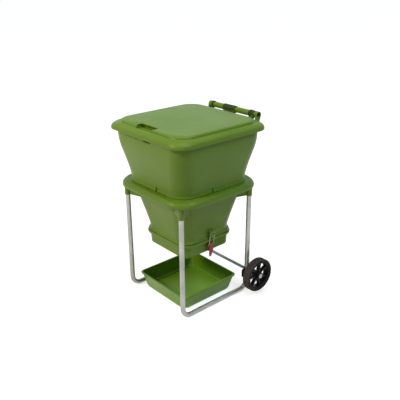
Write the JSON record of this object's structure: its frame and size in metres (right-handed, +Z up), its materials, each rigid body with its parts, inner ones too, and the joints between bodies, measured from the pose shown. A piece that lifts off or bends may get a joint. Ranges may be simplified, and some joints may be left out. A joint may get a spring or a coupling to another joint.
{
  "type": "wormery",
  "caption": "Square worm composting bin in two tapering sections on a wheeled tube frame, with hinged lid, latched drain floor and loose drip tray.",
  "frame": {"origin": "on the ground under the middle of the whole part", "axes": "+Z up, -Y to the front with the lid's finger scoop, +X to the right as seen from the front, wheels at the rear (+Y)"},
  "size_m": [0.6404, 0.6198, 0.957],
  "materials": {
    "green_plastic": "satin moulded olive green",
    "dark_green_plastic": "satin moulded dark green",
    "tray_plastic": "slightly glossy grass green",
    "seal_rubber": "soft black foam rubber",
    "red_plastic": "dull red moulded",
    "wire_steel": "drawn wire",
    "silver_tube": "satin silver",
    "axle_steel": "plated steel",
    "black_plastic": "moulded black",
    "tyre_rubber": "black rubber"
  },
  "bodies": {
    "base": {"upper_bin": "green_plastic", "snap_clip_front": "green_plastic", "snap_clip_back": "green_plastic", "snap_clip_right": "green_plastic", "snap_clip_left": "green_plastic", "hinge_bar": "green_plastic", "hinge_arm_right": "green_plastic", "hinge_arm_left": "green_plastic", "lower_bin": "green_plastic", "floor_pan": "green_plastic", "floor_seal": "seal_rubber", "floor_filter": "dark_green_plastic", "drain_grid": "dark_green_plastic", "keeper_right": "green_plastic", "keeper_left": "green_plastic", "latch_base_right": "green_plastic", "latch_base_left": "green_plastic", "latch_pin_right": "wire_steel", "latch_pin_left": "wire_steel", "leg_frame_right": "silver_tube", "leg_frame_left": "silver_tube", "leg_pin_front_right": "green_plastic", "leg_pin_front_left": "green_plastic", "leg_pin_back_right": "green_plastic", "leg_pin_back_left": "green_plastic", "axle": "axle_steel", "axle_bracket_right": "black_plastic", "axle_bracket_left": "black_plastic", "axle_bush_right": "black_plastic", "axle_bush_left": "black_plastic", "axle_cap_right": "axle_steel", "axle_cap_left": "axle_steel"},
    "lid": {"lid_shell": "green_plastic", "hinge_clip_left": "dark_green_plastic", "hinge_clip_mid": "dark_green_plastic", "hinge_clip_right": "dark_green_plastic"},
    "right_wheel": {"wheel_right": "black_plastic", "tyre_right": "tyre_rubber"},
    "left_wheel": {"wheel_left": "black_plastic", "tyre_left": "tyre_rubber"},
    "right_lever": {"latch_lever_right": "red_plastic"},
    "left_lever": {"latch_lever_left": "red_plastic"},
    "right_loop": {"latch_loop_right": "wire_steel"},
    "left_loop": {"latch_loop_left": "wire_steel"},
    "tray": {"drip_tray": "tray_plastic"}
  },
  "joints": [
    {"name": "lid_hinge", "type": "hinge", "parent": "base", "child": "lid", "pos_m": [0, 0.2915, 0.9386], "axis": [-1, 0, 0], "range_deg": [0, 265]},
    {"name": "wheel_spin_right", "type": "hinge", "parent": "base", "child": "right_wheel", "pos_m": [0.2905, 0.1996, 0.118], "axis": [1, 0, 0], "continuous": true},
    {"name": "wheel_spin_left", "type": "hinge", "parent": "base", "child": "left_wheel", "pos_m": [-0.2905, 0.1996, 0.118], "axis": [1, 0, 0], "continuous": true},
    {"name": "latch_lever_right_turn", "type": "hinge", "parent": "base", "child": "right_lever", "pos_m": [0.169, -0.0239, 0.327], "axis": [0, -1, 0], "range_deg": [0, 90]},
    {"name": "latch_loop_right_turn", "type": "hinge", "parent": "right_lever", "child": "right_loop", "pos_m": [0.16, -0.0239, 0.304], "axis": [0, 1, 0], "range_deg": [0, 112.5]},
    {"name": "latch_lever_left_turn", "type": "hinge", "parent": "base", "child": "left_lever", "pos_m": [-0.169, -0.0239, 0.327], "axis": [0, 1, 0], "range_deg": [0, 90]},
    {"name": "latch_loop_left_turn", "type": "hinge", "parent": "left_lever", "child": "left_loop", "pos_m": [-0.16, -0.0239, 0.304], "axis": [0, -1, 0], "range_deg": [0, 112.5]},
    {"name": "tray_slide", "type": "slide", "parent": "base", "child": "tray", "axis": [0, -1, 0], "range_m": [0, 0.45]}
  ],
  "couplings": [
    {"joint": "latch_loop_right_turn", "follows": "latch_lever_right_turn", "ratio": 1.25},
    {"joint": "latch_loop_left_turn", "follows": "latch_lever_left_turn", "ratio": 1.25}
  ]
}
